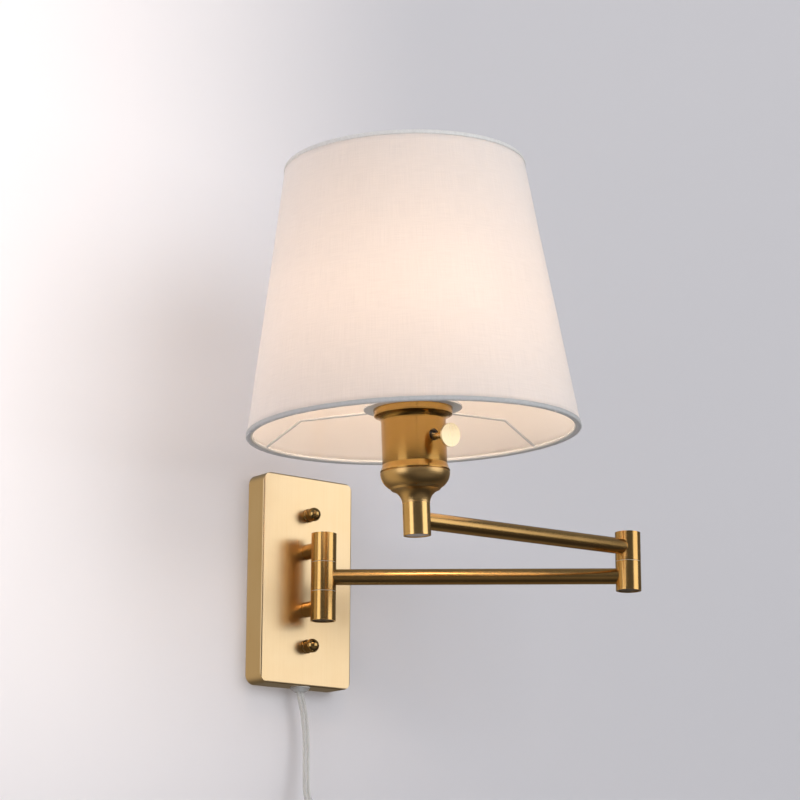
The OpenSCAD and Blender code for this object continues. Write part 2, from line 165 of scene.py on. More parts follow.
class Paint:
    """A material or world under construction."""

    def __init__(self, tree: bpy.types.NodeTree) -> None:
        """Starts with an empty tree."""
        self.tree = tree
        tree.nodes.clear()

    def node(
        self,
        kind: str,
        settings: dict[str, Any] | None = None,
        sockets: dict[str, Any] | None = None,
        out: str | None = None,
    ) -> Wire:
        """Adds one node.

        Args:
            kind: The node's type.
            settings: What is set before the sockets.
            sockets: A value or a wire for each socket, by identifier or name.
            out: The output wanted, or None for the first one in use.

        Returns:
            The wanted output.
        """
        made = self.tree.nodes.new(kind)
        for key, value in (settings or {}).items():
            setattr(made, key, value)
        for key, value in (sockets or {}).items():
            socket = self._find(made.inputs, key)
            if isinstance(value, Wire):
                self.tree.links.new(value.socket, socket)
            elif hasattr(value, "__len__") and len(value) == 3 and socket.type == "RGBA":
                socket.default_value = (*value, 1.0)
            else:
                socket.default_value = value
        if not made.outputs:
            return Wire(self, None)
        chosen = (self._find(made.outputs, out) if out else next(s for s in made.outputs if s.enabled))
        return Wire(self, chosen)

    @staticmethod
    def _find(sockets: Any, key: str) -> bpy.types.NodeSocket:
        """Finds a socket by its identifier, or else by its name."""
        for socket in sockets:
            if socket.identifier == key:
                return socket
        return next(s for s in sockets if s.name == key and s.enabled)

    def place(self, place: Place = WALL_PLACE, stretch: Sequence[float] = (1, 1, 1)) -> Wire:
        """Gives a point of the surface in a part's own axes.

        Args:
            place: The part's axes.
            stretch: How much a pattern is squeezed along each of them.

        Returns:
            The point, times the stretch.
        """
        seen = self.node("ShaderNodeTexCoord", out="Object")
        own = self.node(
            "ShaderNodeMapping",
            {"vector_type": "TEXTURE"},
            {"Vector": seen, "Location": place.origin, "Rotation": place.turn},
        )
        return self.vector("MULTIPLY", own, stretch)

    def vector(self, operation: str, first: Any, second: Any) -> Wire:
        """Adds one Vector Math node."""
        return self.node(
            "ShaderNodeVectorMath", {"operation": operation}, {"Vector": first, "Vector_001": second}
        )

    def split(self, vector: Wire) -> tuple[Wire, Wire, Wire]:
        """Splits a vector.

        Args:
            vector: The vector.

        Returns:
            Its three numbers.
        """
        made = self.node("ShaderNodeSeparateXYZ", {}, {"Vector": vector}, "X")
        outputs = made.socket.node.outputs
        return made, Wire(self, outputs["Y"]), Wire(self, outputs["Z"])

    def noise(self, where: Wire, scale: float, detail: float = 2.0) -> Wire:
        """Adds a noise, from 0 to 1."""
        return self.node(
            "ShaderNodeTexNoise", {}, {"Vector": where, "Scale": scale, "Detail": detail}, "Fac"
        )

    def mix(self, share: Any, first: Any, second: Any) -> Wire:
        """Mixes two colours.

        Args:
            share: How much of the second.
            first: A colour or wire.
            second: A colour or wire.

        Returns:
            The mixed colour.
        """
        return self.node(
            "ShaderNodeMix",
            {"data_type": "RGBA"},
            {"Factor_Float": share, "A_Color": first, "B_Color": second},
            "Result_Color",
        )

    def toned(self, share: Any, tone: Colour, dark: float) -> Wire:
        """Mixes from a tone at dark times its strength to the tone itself."""
        return self.mix(share, tuple(c * dark for c in tone), tone)

    def streaks(self, where: Wire, stretch: Sequence[float], detail: float = 3.0) -> Wire:
        """Adds a noise that is stretched along its axes."""
        return self.noise(self.vector("MULTIPLY", where, stretch), 1.0, detail)

    def cut(self) -> Wire:
        """Gives a point's place on the piece's flat cut."""
        return self.node("ShaderNodeUVMap", {"uv_map": "cut"})

    def rim(self, blend: float) -> Wire:
        """Gives 0 where a surface is seen square on, up to 1 at its rim."""
        return self.node("ShaderNodeLayerWeight", {}, {"Blend": blend}, "Facing")

    def lit(self, colour: Any) -> Wire:
        """Adds a shader that lets light through."""
        return self.node("ShaderNodeBsdfTranslucent", {}, {"Color": colour})

    def blend(self, share: Any, first: Wire, second: Wire) -> Wire:
        """Mixes two shaders, with a share of the second."""
        return self.node("ShaderNodeMixShader", {}, {"Fac": share, "Shader": first, "Shader_001": second})

    def one_sided(self, front: Wire, hole: Wire | None = None) -> Wire:
        """Makes a surface see-through from behind.

        Args:
            front: The shader of its front.
            hole: Where the front is see-through too, or None.

        Returns:
            The shader of both sides.
        """
        behind = self.node("ShaderNodeNewGeometry", out="Backfacing")
        gone = behind if hole is None else hole.call("MAXIMUM", behind)
        return self.blend(gone, front, self.node("ShaderNodeBsdfTransparent"))

    def bump(self, height: Wire, strength: float, depth: float) -> Wire:
        """Makes a normal from a height."""
        return self.node(
            "ShaderNodeBump", {}, {"Height": height, "Strength": strength, "Distance": depth}
        )

    def surface(self, sockets: dict[str, Any]) -> Wire:
        """Adds the main surface shader."""
        return self.node("ShaderNodeBsdfPrincipled", {}, sockets)

    def finish(self, shader: Wire, kind: str = "ShaderNodeOutputMaterial") -> None:
        """Ends the tree in its output."""
        self.node(kind, {}, {"Surface": shader})


@dataclass(frozen=True)
class Finish:
    """A surface finish, made once and shared by the pieces that have it."""

    name: str

    def lay(self, paint: Paint) -> Wire:
        """Lays the finish's nodes and gives its shader.

        Args:
            paint: The tree to lay it in.

        Returns:
            The shader.
        """
        raise NotImplementedError

    def material(self) -> bpy.types.Material:
        """Makes the material, or finds it if it is made already.

        Returns:
            The material.
        """
        found = bpy.data.materials.get(self.name)
        if found is None:
            found = bpy.data.materials.new(self.name)
            found.use_nodes = True
            paint = Paint(found.node_tree)
            paint.finish(self.lay(paint))
        return found


@dataclass(frozen=True)
class BrushedBrass(Finish):
    """Brass rubbed one way and lacquered, with fine streaks and a faint cloudiness."""

    place: Place
    grain: Grain
    tone: Colour
    deep: Colour
    roughness: float = 0.26
    streak_scale: float = 1400.0
    streak_depth: float = 0.03
    contrast: float = 1.0
    coat: float = 0.06

    def lay(self, paint: Paint) -> Wire:
        """Lays streaks along the rubbing, over soft clouds.

        Args:
            paint: The tree to lay it in.

        Returns:
            The shader.
        """
        where = paint.place(self.place, self.grain.value)
        fine = paint.noise(where, self.streak_scale, 3.0)
        broad = paint.noise(where, self.streak_scale * 0.22, 2.0)
        cloud = paint.noise(paint.place(self.place), 26.0, 3.0)
        streak = fine * 0.62 + broad * 0.38
        shade = (streak - 0.5) * (0.55 * self.contrast) + cloud * 0.55 + 0.275
        colour = paint.mix(shade.ramp(0.25, 0.85), self.deep, self.tone)
        rough = self.roughness + (streak - 0.5) * (0.14 * self.contrast) + (cloud - 0.5) * 0.06
        return paint.surface(
            {
                "Base Color": colour,
                "Metallic": 1.0,
                "Roughness": rough,
                "Coat Weight": self.coat,
                "Coat Roughness": 0.12,
                "Normal": paint.bump(fine, self.streak_depth, 0.0002),
            }
        )


@dataclass(frozen=True)
class PolishedBrass(Finish):
    """Mirror brass with faint buffing swirls."""

    tone: Colour
    roughness: float = 0.07
    dulling: float = 0.10

    def lay(self, paint: Paint) -> Wire:
        """Lays faint swirls and dull patches.

        Args:
            paint: The tree to lay it in.

        Returns:
            The shader.
        """
        where = paint.place()
        swirl = paint.noise(where, 900.0, 4.0)
        patch = paint.noise(where, 120.0, 2.0)
        return paint.surface(
            {
                "Base Color": paint.mix(patch.ramp(0.3, 0.8), self.tone, tuple(c * 0.82 for c in self.tone)),
                "Metallic": 1.0,
                "Roughness": self.roughness + patch.ramp(0.35, 0.75) * self.dulling,
                "Normal": paint.bump(swirl, 0.04, 0.0002),
            }
        )


@dataclass(frozen=True)
class PlainMetal(Finish):
    """Plated or bare steel and aluminium, with a mottled plating and faint scratches."""

    tone: Colour
    roughness: float = 0.35
    mottle: float = 0.2
    scale: float = 260.0
    metallic: float = 1.0
    grit: float = 0.12

    def lay(self, paint: Paint) -> Wire:
        """Lays mottling and grit.

        Args:
            paint: The tree to lay it in.

        Returns:
            The shader.
        """
        where = paint.place()
        spots = paint.noise(where, self.scale, 4.0)
        grit = paint.noise(where, self.scale * 9.0, 2.0)
        return paint.surface(
            {
                "Base Color": paint.toned(spots.ramp(0.35, 0.65), self.tone, 1.0 - self.mottle),
                "Metallic": self.metallic,
                "Roughness": self.roughness + (spots - 0.5) * 0.25,
                "Normal": paint.bump(grit, self.grit, 0.0002),
            }
        )


@dataclass(frozen=True)
class Moulded(Finish):
    """Moulded plastic, with a fine spark-eroded texture and slight flow marks."""

    tone: Colour
    roughness: float = 0.42
    texture: float = 0.15
    clear: float = 1.0
    ribs: float = 0.0

    def lay(self, paint: Paint) -> Wire:
        """Lays texture, flow marks and, where asked, ribs along the upright axis.

        Args:
            paint: The tree to lay it in.

        Returns:
            The shader.
        """
        where = paint.place()
        texture = paint.noise(where, 2600.0, 2.0)
        flow = paint.noise(where, 55.0, 3.0)
        height = texture
        if self.ribs:
            upright = paint.split(where)[2]
            height = texture * 0.25 + (upright * (math.tau / self.ribs)).call("SINE") * 0.5
        return paint.surface(
            {
                "Base Color": paint.toned(flow.ramp(0.3, 0.75), self.tone, 0.9),
                "Roughness": self.roughness + (flow - 0.5) * 0.15,
                "Alpha": self.clear,
                "Subsurface Weight": 0.15 if self.clear == 1.0 else 0.0,
                "Subsurface Scale": 0.002,
                "Normal": paint.bump(height, self.texture, 0.0003),
            }
        )


@dataclass(frozen=True)
class ThreadedMetal(Finish):
    """A rolled screw thread in thin metal."""

    place: Place
    tone: Colour
    pitch: float = 3.6 * MM
    roughness: float = 0.25

    def lay(self, paint: Paint) -> Wire:
        """Winds a rolled thread round the part's upright axis.

        Args:
            paint: The tree to lay it in.

        Returns:
            The shader.
        """
        own = paint.place(self.place)
        x, y, z = paint.split(own)
        wave = (z * (math.tau / self.pitch) + y.call("ARCTAN2", x)).call("SINE")
        spots = paint.noise(own, 500.0, 3.0)
        return paint.surface(
            {
                # Painted shade: the colour darkens in the thread's roots, following the same wave that bumps
                # the thread.
                "Base Color": paint.toned(wave.ramp(-1.0, 0.2), self.tone, 0.6),
                "Metallic": 1.0,
                "Roughness": self.roughness + (spots - 0.5) * 0.2,
                "Normal": paint.bump(wave, 0.6, 0.0009),
            }
        )


@dataclass(frozen=True)
class LitGlass(Finish):
    """A frosted lamp glass with its light on, hotter towards its middle."""

    place: Place
    middle: float
    glow: Colour
    strength: float

    def lay(self, paint: Paint) -> Wire:
        """Lights the ball and leaves its neck dimmer.

        Args:
            paint: The tree to lay it in.

        Returns:
            The shader.
        """
        _, _, z = paint.split(paint.place(self.place))
        hot = (1.0 - (z - self.middle).call("ABSOLUTE").ramp(0.0, 0.05)) * 0.5 + 0.5
        return paint.surface(
            {
                "Base Color": (0.93, 0.91, 0.87),
                "Roughness": 0.35,
                "Emission Color": paint.toned(hot, self.glow, 0.5),
                "Emission Strength": self.strength,
            }
        )


@dataclass(frozen=True)
class ShadeCloth(Finish):
    """The shade's plain woven cloth: fine threads both ways, with slubs, lit through."""

    tone: Colour = (0.90, 0.905, 0.935)
    thread: float = 0.42 * MM
    through: float = 0.60
    warmth: Colour = (1.0, 0.84, 0.70)

    def lay(self, paint: Paint) -> Wire:
        """Weaves the cloth on the sheet's own lengths, and lets light through it.

        Args:
            paint: The tree to lay it in.

        Returns:
            The shader.
        """
        sheet = paint.cut()
        across, up, _ = paint.split(sheet)
        turn = math.tau / self.thread
        warp = (across * turn).call("SINE")
        weft = (up * turn).call("SINE")
        slub = paint.streaks(sheet, (60.0, 1600.0, 1.0))
        rise = paint.streaks(sheet, (1500.0, 45.0, 1.0))
        cloud = paint.noise(sheet, 9.0, 2.0)
        thread = slub * 0.5 + rise * 0.5
        weave = warp * weft * 0.30 + thread
        colour = paint.toned((thread * 0.9 + cloud * 0.3).ramp(0.40, 0.78), self.tone, 0.90)
        cloth = paint.surface(
            {
                "Base Color": colour,
                "Roughness": 0.85 + (thread - 0.5) * 0.2,
                "Specular IOR Level": 0.25,
                "Sheen Weight": 0.5,
                "Sheen Roughness": 0.45,
                "Normal": paint.bump(weave, 0.22, 0.0004),
            }
        )
        share = (self.through + (thread - 0.5) * 0.25) * (1.0 - paint.rim(0.5) * 0.45)
        return paint.blend(share, cloth, paint.lit(paint.mix(0.5, colour, self.warmth)))


@dataclass(frozen=True)
class ShadeLining(Finish):
    """The white film bonded to the inside of the shade's cloth."""

    tone: Colour = (0.94, 0.91, 0.88)
    through: float = 0.55
    warmth: Colour = (0.97, 0.93, 0.88)

    def lay(self, paint: Paint) -> Wire:
        """Lays a smooth film with faint ripples.

        Args:
            paint: The tree to lay it in.

        Returns:
            The shader.
        """
        sheet = paint.cut()
        ripple = paint.streaks(sheet, (14.0, 30.0, 1.0), 2.0)
        print_through = paint.noise(sheet, 1700.0, 2.0)
        film = paint.surface(
            {
                "Base Color": paint.toned(ripple, self.tone, 0.96),
                "Roughness": 0.55 + (ripple - 0.5) * 0.2,
                "Normal": paint.bump(ripple * 0.7 + print_through * 0.3, 0.08, 0.0006),
            }
        )
        return paint.blend(self.through, film, paint.lit(self.warmth))


@dataclass(frozen=True)
class HemTape(Finish):
    """Cloth tape rolled over the shade's wire, with its threads on the bias."""

    # Painted shade: this default tone is darker than the top hem's and is used for the bottom hem, which
    # faces down into shade.
    tone: Colour = (0.54, 0.535, 0.54)

    def lay(self, paint: Paint) -> Wire:
        """Lays bias threads along the hem's own lengths.

        Args:
            paint: The tree to lay it in.

        Returns:
            The shader.
        """
        sheet = paint.cut()
        across, up, _ = paint.split(sheet)
        turn = math.tau / (0.6 * MM)
        bias = ((across + up) * turn).call("SINE") * ((across - up) * turn).call("SINE")
        slub = paint.noise(sheet, 700.0, 3.0)
        pull = paint.streaks(sheet, (260.0, 30.0, 1.0), 2.0)
        return paint.surface(
            {
                "Base Color": paint.toned((slub * 0.6 + pull * 0.5).ramp(0.3, 0.8), self.tone, 0.86),
                "Roughness": 0.8 + (slub - 0.5) * 0.2,
                "Sheen Weight": 0.2,
                "Sheen Roughness": 0.4,
                "Normal": paint.bump(bias * 0.25 + slub * 0.5 + pull * 0.6, 0.35, 0.0005),
            }
        )


@dataclass(frozen=True)
class ClearSleeve(Finish):
    """Clear soft plastic, nearly invisible face on and milky at its edges."""

    tone: Colour = (0.94, 0.93, 0.91)
    body: float = 0.24

    def lay(self, paint: Paint) -> Wire:
        """Makes the edges show more than the middle, as clear tube does.

        Args:
            paint: The tree to lay it in.

        Returns:
            The shader.
        """
        where = paint.place()
        haze = paint.noise(where, 130.0, 3.0)
        return paint.surface(
            {
                "Base Color": paint.toned(haze.ramp(0.3, 0.8), self.tone, 0.93),
                "Roughness": 0.13 + haze * 0.12,
                "Alpha": self.body + paint.rim(0.35) ** 1.6 * 0.62 + (haze - 0.5) * 0.12,
                "Coat Weight": 0.4,
                "Coat Roughness": 0.08,
                "Normal": paint.bump(haze, 0.12, 0.0006),
            }
        )


@dataclass(frozen=True)
class TwistedStrands(Finish):
    """Tinned copper strands wound together."""

    tone: Colour = (0.88, 0.86, 0.84)
    strands: float = 9.0
    lay_length: float = 0.016

    def lay(self, paint: Paint) -> Wire:
        """Winds strands along the wire's own length.

        Args:
            paint: The tree to lay it in.

        Returns:
            The shader.
        """
        along, around, _ = paint.split(paint.cut())
        wave = (
            (around * self.strands + along / self.lay_length * self.strands) * (math.tau)
        ).call("SINE")
        dull = paint.noise(paint.place(), 700.0, 2.0)
        return paint.surface(
            {
                # Painted shade: the colour darkens in the creases between the strands.
                "Base Color": paint.toned(wave.ramp(-1.0, 0.1), self.tone, 0.55),
                "Metallic": 0.4,
                "Roughness": 0.28 + dull * 0.2,
                "Normal": paint.bump(wave, 0.7, 0.0003),
            }
        )


@dataclass(frozen=True)
class Papery(Finish):
    """Fibre board and phenolic, with short fibres."""

    tone: Colour
    roughness: float = 0.7

    def lay(self, paint: Paint) -> Wire:
        """Lays short fibres.

        Args:
            paint: The tree to lay it in.

        Returns:
            The shader.
        """
        where = paint.place(HEAD_PLACE, (1.0, 1.0, 0.2))
        fibre = paint.noise(where, 1300.0, 4.0)
        return paint.surface(
            {
                "Base Color": paint.toned(fibre.ramp(0.35, 0.7), self.tone, 0.7),
                "Roughness": self.roughness + (fibre - 0.5) * 0.2,
                "Normal": paint.bump(fibre, 0.25, 0.0003),
            }
        )


@dataclass(frozen=True)
class WallPaint(Finish):
    """Matt wall paint with a roller's stipple, see-through from behind and in the plate.

    Its left is painted light: an emission glow, fading towards the floor, stands in for light from a bright
    room beyond that side.
    """

    tone: Colour = (0.62, 0.604, 0.632)
    glow: Colour = (1.0, 0.885, 0.81)
    painted_light_strength: float = 0.46
    plate_lip: float = 4.0 * MM

    def lay(self, paint: Paint) -> Wire:
        """Paints the front only.

        Args:
            paint: The tree to lay it in.

        Returns:
            The shader.
        """
        where = paint.place()
        stipple = paint.noise(where, 320.0, 3.0)
        patch = paint.noise(where, 1.4, 2.0)
        x, _, z = paint.split(where)
        # Painted light: the wall's emission glow, strongest to the lamp's left and fading downwards.
        left = (1.0 - x.ramp(-0.30, 0.16)) * (x.ramp(-0.75, -0.28) * 0.9 + 0.1)
        glow = left * (z.ramp(-0.40, 0.10) * 0.75 + 0.25)
        wall = paint.surface(
            {
                "Base Color": paint.toned(patch, self.tone, 0.985),
                "Roughness": 0.85,
                "Specular IOR Level": 0.2,
                "Emission Color": paint.mix(glow, (0.0, 0.0, 0.0), self.glow),
                "Emission Strength": self.painted_light_strength,
                "Normal": paint.bump(stipple, 0.05, 0.0008),
            }
        )
        _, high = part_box("backplate")
        aside = x.call("ABSOLUTE").call("LESS_THAN", high.x - self.plate_lip)
        up = z.call("ABSOLUTE").call("LESS_THAN", high.z - self.plate_lip)
        return paint.one_sided(wall, aside * up)


@dataclass(frozen=True)
class FloorPaint(Finish):
    """Plain matt floor, see-through from below."""

    tone: Colour = (0.70, 0.70, 0.70)

    def lay(self, paint: Paint) -> Wire:
        """Paints the top only.

        Args:
            paint: The tree to lay it in.

        Returns:
            The shader.
        """
        grain = paint.noise(paint.place(), 60.0, 3.0)
        floor = paint.surface({ "Base Color": paint.toned(grain, self.tone, 0.97), "Roughness": 0.8, })
        return paint.one_sided(floor)


# ---- Mesh helpers ----


def stand(name: str, data: bpy.types.ID) -> bpy.types.Object:
    """Puts a new object in the scene.

    Args:
        name: Its name.
        data: Its mesh, light or camera.

    Returns:
        The object.
    """
    made = bpy.data.objects.new(name, data)
    bpy.context.scene.collection.objects.link(made)
    return made


def absorb(whole: bmesh.types.BMesh, part: bmesh.types.BMesh) -> None:
    """Adds one shape to another and frees it.

    Args:
        whole: The shape that grows.
        part: The shape that is added.
    """
    spare = bpy.data.meshes.new("spare")
    part.to_mesh(spare)
    part.free()
    whole.from_mesh(spare)
    bpy.data.meshes.remove(spare)


def new_piece(
    name: str, mesh: bmesh.types.BMesh, body: Body, finish: Finish, outward: bool = True
) -> bpy.types.Object:
    """Turns a bmesh into a finished piece that rides on a body.

    Args:
        name: The piece's name.
        mesh: Its shape, in the frame's axes. It is freed.
        body: The body that it rides on.
        finish: Its finish.
        outward: Whether its normals are recalculated.

    Returns:
        The piece.
    """
    bmesh.ops.remove_doubles(mesh, verts=mesh.verts, dist=MERGE_DISTANCE)
    if outward:
        bmesh.ops.recalc_face_normals(mesh, faces=mesh.faces)
    for face in mesh.faces:
        face.smooth = True
    data = bpy.data.meshes.new(name)
    mesh.to_mesh(data)
    mesh.free()
    piece = stand(name, data)
    data.materials.append(finish.material())
    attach(piece, body.value)
    LOG.info("%s: %d faces on %s", name, len(data.polygons), body.value)
    return piece


def spun(outline: Sequence[tuple[float, float]], steps: int, closed: bool) -> bmesh.types.BMesh:
    """Spins an outline about the upright axis.

    Args:
        outline: Points as (radius, height), in metres.
        steps: How many steps make the full turn.
        closed: Whether the outline is a loop.

    Returns:
        The spun shape.
    """
    mesh = bmesh.new()
    verts = [mesh.verts.new((r, 0.0, z)) for r, z in outline]
    edges = [mesh.edges.new(pair) for pair in zip(verts, verts[1:])]
    if closed:
        edges.append(mesh.edges.new((verts[-1], verts[0])))
    bmesh.ops.spin(
        mesh,
        geom=verts + edges,
        cent=(0, 0, 0),
        axis=(0, 0, 1),
        angle=math.tau,
        steps=steps,
        use_merge=True,
    )
    bmesh.ops.remove_doubles(mesh, verts=mesh.verts, dist=1e-7)
    return mesh


def lay_cut(mesh: bmesh.types.BMesh, measure: Callable[[Vector], tuple[float, float]], around: float) -> None:
    """Writes each corner's place on the flat cut to a map named cut.

    Args:
        mesh: The shape.
        measure: Gives a point's place on the cut, in metres.
        around: The length at which the first number starts again.
    """
    layer = mesh.loops.layers.uv.new("cut")
    for face in mesh.faces:
        spots = [measure(loop.vert.co) for loop in face.loops]
        first = spots[0][0]
        for loop, (across, up) in zip(face.loops, spots):
            if across - first > around / 2:
                across -= around
            elif first - across > around / 2:
                across += around
            loop[layer].uv = (across, up)


@dataclass
class Run:
    """A line that a cord or wire follows, with the way its flat side lies."""

    points: list[Vector]
    wide: list[Vector]

    def frames(self) -> list[Matrix]:
        """Finds the axes of a cross-section at each point.

        Returns:
            A matrix for each point, with X across the width and Z along the line.
        """
        made = []
        last = len(self.points) - 1
        for index, point in enumerate(self.points):
            along = self.points[min(index + 1, last)] - self.points[max(index - 1, 0)]
            along.normalize()
            side = self.wide[index] - along * self.wide[index].dot(along)
            side.normalize()
            thick = along.cross(side)
            turn = Matrix((side, thick, along)).transposed().to_4x4()
            made.append(Matrix.Translation(point) @ turn)
        return made


def line_length(points: Sequence[Vector]) -> float:
    """Measures the line through points."""
    return sum((b - a).length for a, b in zip(points, points[1:]))


def eased(share: float) -> float:
    """Keeps a share within 0 and 1 and smooths both its ends."""
    share = min(1.0, max(0.0, share))
    return share * share * (3 - 2 * share)


def round_section(radius: float, aside: float = 0.0) -> Callable[[float], tuple[float, float]]:
    """Draws the cross-section of a round wire.

    Args:
        radius: The wire's radius.
        aside: How far its middle lies to the side of the line.

    Returns:
        What gives a corner's place, for a turn of 0 to 1.
    """

    def corner(turn: float) -> tuple[float, float]:
        """Gives one corner's place."""
        angle = math.tau * turn
        return aside + radius * math.cos(angle), radius * math.sin(angle)

    return corner


def tube(run: Run, sides: int, outline: Callable[[float], tuple[float, float]]) -> bmesh.types.BMesh:
    """Extrudes a cross-section along a run, with a map named cut.

    Args:
        run: The line.
        sides: How many corners the cross-section has.
        outline: Gives a corner's place across and through, for a turn of 0 to 1.

    Returns:
        The closed tube.
    """
    mesh = bmesh.new()
    turns = mesh.verts.layers.float.new("turn")
    reach = mesh.verts.layers.float.new("reach")
    layer = mesh.loops.layers.uv.new("cut")
    ring = bmesh.ops.create_circle(mesh, segments=sides, radius=1.0)["verts"]
    for index, vert in enumerate(ring):
        vert[turns] = index / sides
        vert.co = (*outline(index / sides), 0.0)
    frames = run.frames()
    bmesh.ops.transform(mesh, matrix=frames[0], verts=ring)
    edges = list(mesh.edges)
    ends = [edges]
    far = 0.0
    for before, after, a, b in zip(frames, frames[1:], run.points, run.points[1:]):
        far += (b - a).length
        grown = bmesh.ops.extrude_edge_only(mesh, edges=edges)["geom"]
        verts = [g for g in grown if isinstance(g, bmesh.types.BMVert)]
        edges = [
            g
            for g in grown
            if isinstance(g, bmesh.types.BMEdge) and all(v in set(verts) for v in g.verts)
        ]
        bmesh.ops.transform(mesh, matrix=after @ before.inverted(), verts=verts)
        for vert in verts:
            vert[reach] = far
    ends.append(edges)
    for face in mesh.faces:
        first = face.loops[0].vert[turns]
        for loop in face.loops:
            turn = loop.vert[turns]
            turn += 1.0 if first - turn > 0.5 else -1.0 if turn - first > 0.5 else 0.0
            loop[layer].uv = (loop.vert[reach], turn)
    for end in ends:
        bmesh.ops.edgeloop_fill(mesh, edges=end)
    return mesh


PARTS_PER_SPAN = 12


def smooth_run(points: Sequence[Vector], step: float) -> list[Vector]:
    """Draws a smooth line through points and spaces it evenly.

    Args:
        points: What the line passes through.
        step: The spacing wanted.

    Returns:
        The evenly spaced points.
    """
    dense: list[Vector] = []
    ends = [2 * points[0] - points[1], *points, 2 * points[-1] - points[-2]]
    for a, b, c, d in zip(ends, ends[1:], ends[2:], ends[3:]):
        for part in range(PARTS_PER_SPAN):
            t = part / PARTS_PER_SPAN
            dense.append(
                0.5
                * (
                    2 * b
                    + (c - a) * t
                    + (2 * a - 5 * b + 4 * c - d) * t**2
                    + (3 * b - a - 3 * c + d) * t**3
                )
            )
    dense.append(points[-1].copy())
    total = line_length(dense)
    count = max(2, round(total / step))
    spaced, want, far = [dense[0].copy()], total / count, 0.0
    for p, q in zip(dense, dense[1:]):
        gap = (q - p).length
        while gap > 0 and far + gap >= want * len(spaced) - 1e-9 and len(spaced) < count:
            spaced.append(p.lerp(q, (want * len(spaced) - far) / gap))
        far += gap
    spaced.append(dense[-1].copy())
    return spaced


# ---- Finishes ----

PLATE_TONE: Colour = (0.83, 0.65, 0.41)
PLATE_DEEP: Colour = (0.75, 0.55, 0.31)
BRASS_TONE: Colour = (0.78, 0.50, 0.19)
BRASS_DEEP: Colour = (0.64, 0.38, 0.13)
# Painted shade: a darker copy of the lamp's brass for the holder's shell, set to how light falls on it.
HOLDER_SHADED_TONE: Colour = (0.52, 0.31, 0.095)
HOLDER_SHADED_DEEP: Colour = (0.43, 0.245, 0.065)

PLATE_BRASS = BrushedBrass(
    "plate_brass", WALL_PLACE, Grain.UPRIGHT, PLATE_TONE, PLATE_DEEP, 0.30, contrast=0.7
)
PIVOT_BRASS = BrushedBrass(
    "pivot_brass", WALL_PLACE, Grain.TURNED, BRASS_TONE, BRASS_DEEP, 0.20, contrast=0.35
)
LOWER_ARM_BRASS = BrushedBrass(
    "lower_arm_brass", LOWER_ARM_PLACE, Grain.LENGTHWISE, BRASS_TONE, BRASS_DEEP, 0.22
)
UPPER_ARM_BRASS = BrushedBrass(
    "upper_arm_brass", UPPER_ARM_PLACE, Grain.LENGTHWISE, BRASS_TONE, BRASS_DEEP, 0.22
)
# Painted light: the stem takes a lighter copy of the lamp's brass, set to how light falls on it.
STEM_BRASS = BrushedBrass(
    "stem_brass", HEAD_PLACE, Grain.UPRIGHT, (0.88, 0.59, 0.25), (0.76, 0.48, 0.18), 0.22
)
HOLDER_BRASS = BrushedBrass(
    "holder_brass", HEAD_PLACE, Grain.TURNED, HOLDER_SHADED_TONE, HOLDER_SHADED_DEEP, 0.21, contrast=0.3, coat=0.0
)
# Painted light: the holder's cup takes a lighter copy of the lamp's brass, set to how light falls on it.
CUP_BRASS = BrushedBrass(
    "cup_brass", HEAD_PLACE, Grain.TURNED, (0.84, 0.57, 0.26), (0.70, 0.45, 0.18), 0.34, contrast=0.3
)
KNOB_BRASS = BrushedBrass(
    "knob_brass", HEAD_PLACE, Grain.UPRIGHT, (0.96, 0.83, 0.58), (0.90, 0.75, 0.48), 0.28, contrast=0.3
)
NUT_BRASS = PolishedBrass("nut_brass", (0.58, 0.37, 0.14))
CONTACT_BRASS = PolishedBrass("contact_brass", (0.80, 0.62, 0.33), 0.18)
ZINC = PlainMetal("zinc_plate", (0.58, 0.58, 0.60), 0.38, 0.25, 90.0)
PIN_STEEL = PlainMetal("pin_steel", (0.24, 0.20, 0.16), 0.5, 0.25, 90.0)
# The end caps' dark tone is partly their own dark finish and partly painted shade for the knuckles' recessed
# ends.
DARK_CAP = PlainMetal("dark_cap", (0.16, 0.11, 0.06), 0.35, 0.3, 600.0)
PALE_CAP = PlainMetal("pale_cap", (0.66, 0.60, 0.60), 0.42, 0.12, 500.0, 0.4)
WHITE_METAL = PlainMetal("white_metal", (0.36, 0.37, 0.40), 0.36, 0.10, 320.0, 0.5)
LAMP_CAP = ThreadedMetal("lamp_cap_metal", HEAD_PLACE, (0.72, 0.72, 0.70))
SCREW_SHELL = ThreadedMetal("screw_shell_metal", HEAD_PLACE, (0.78, 0.66, 0.42))
THREADED_STEEL = ThreadedMetal("threaded_steel", HEAD_PLACE, (0.62, 0.60, 0.56), 1.0 * MM)
NYLON = Moulded("nylon", (0.10, 0.065, 0.03), 0.75)
CONNECTOR = Moulded("connector_plastic", (0.86, 0.80, 0.66), 0.4, 0.3, 1.0, 2.2 * MM)
WIRE_SLEEVE = Moulded("wire_sleeve", (0.78, 0.62, 0.34), 0.3)
TIE = Moulded("tie_nylon", (0.88, 0.88, 0.87), 0.38, 0.3)
PLUG = Moulded("plug_plastic", (0.84, 0.85, 0.85), 0.3, 0.15)
BUSHING = Moulded("bushing_plastic", (0.66, 0.66, 0.65), 0.22, 0.1, 0.5)
PHENOLIC = Papery("switch_phenolic", (0.05, 0.04, 0.035), 0.4)
FIBRE = Papery("fibre_lining", (0.45, 0.38, 0.30))
BULB_GLASS = LitGlass("bulb_glass_lit", HEAD_PLACE, 0.138, (0.97, 0.72, 0.505), 9.8)
SLEEVE = ClearSleeve("clear_sleeve")
STRANDS = TwistedStrands("tinned_strands")

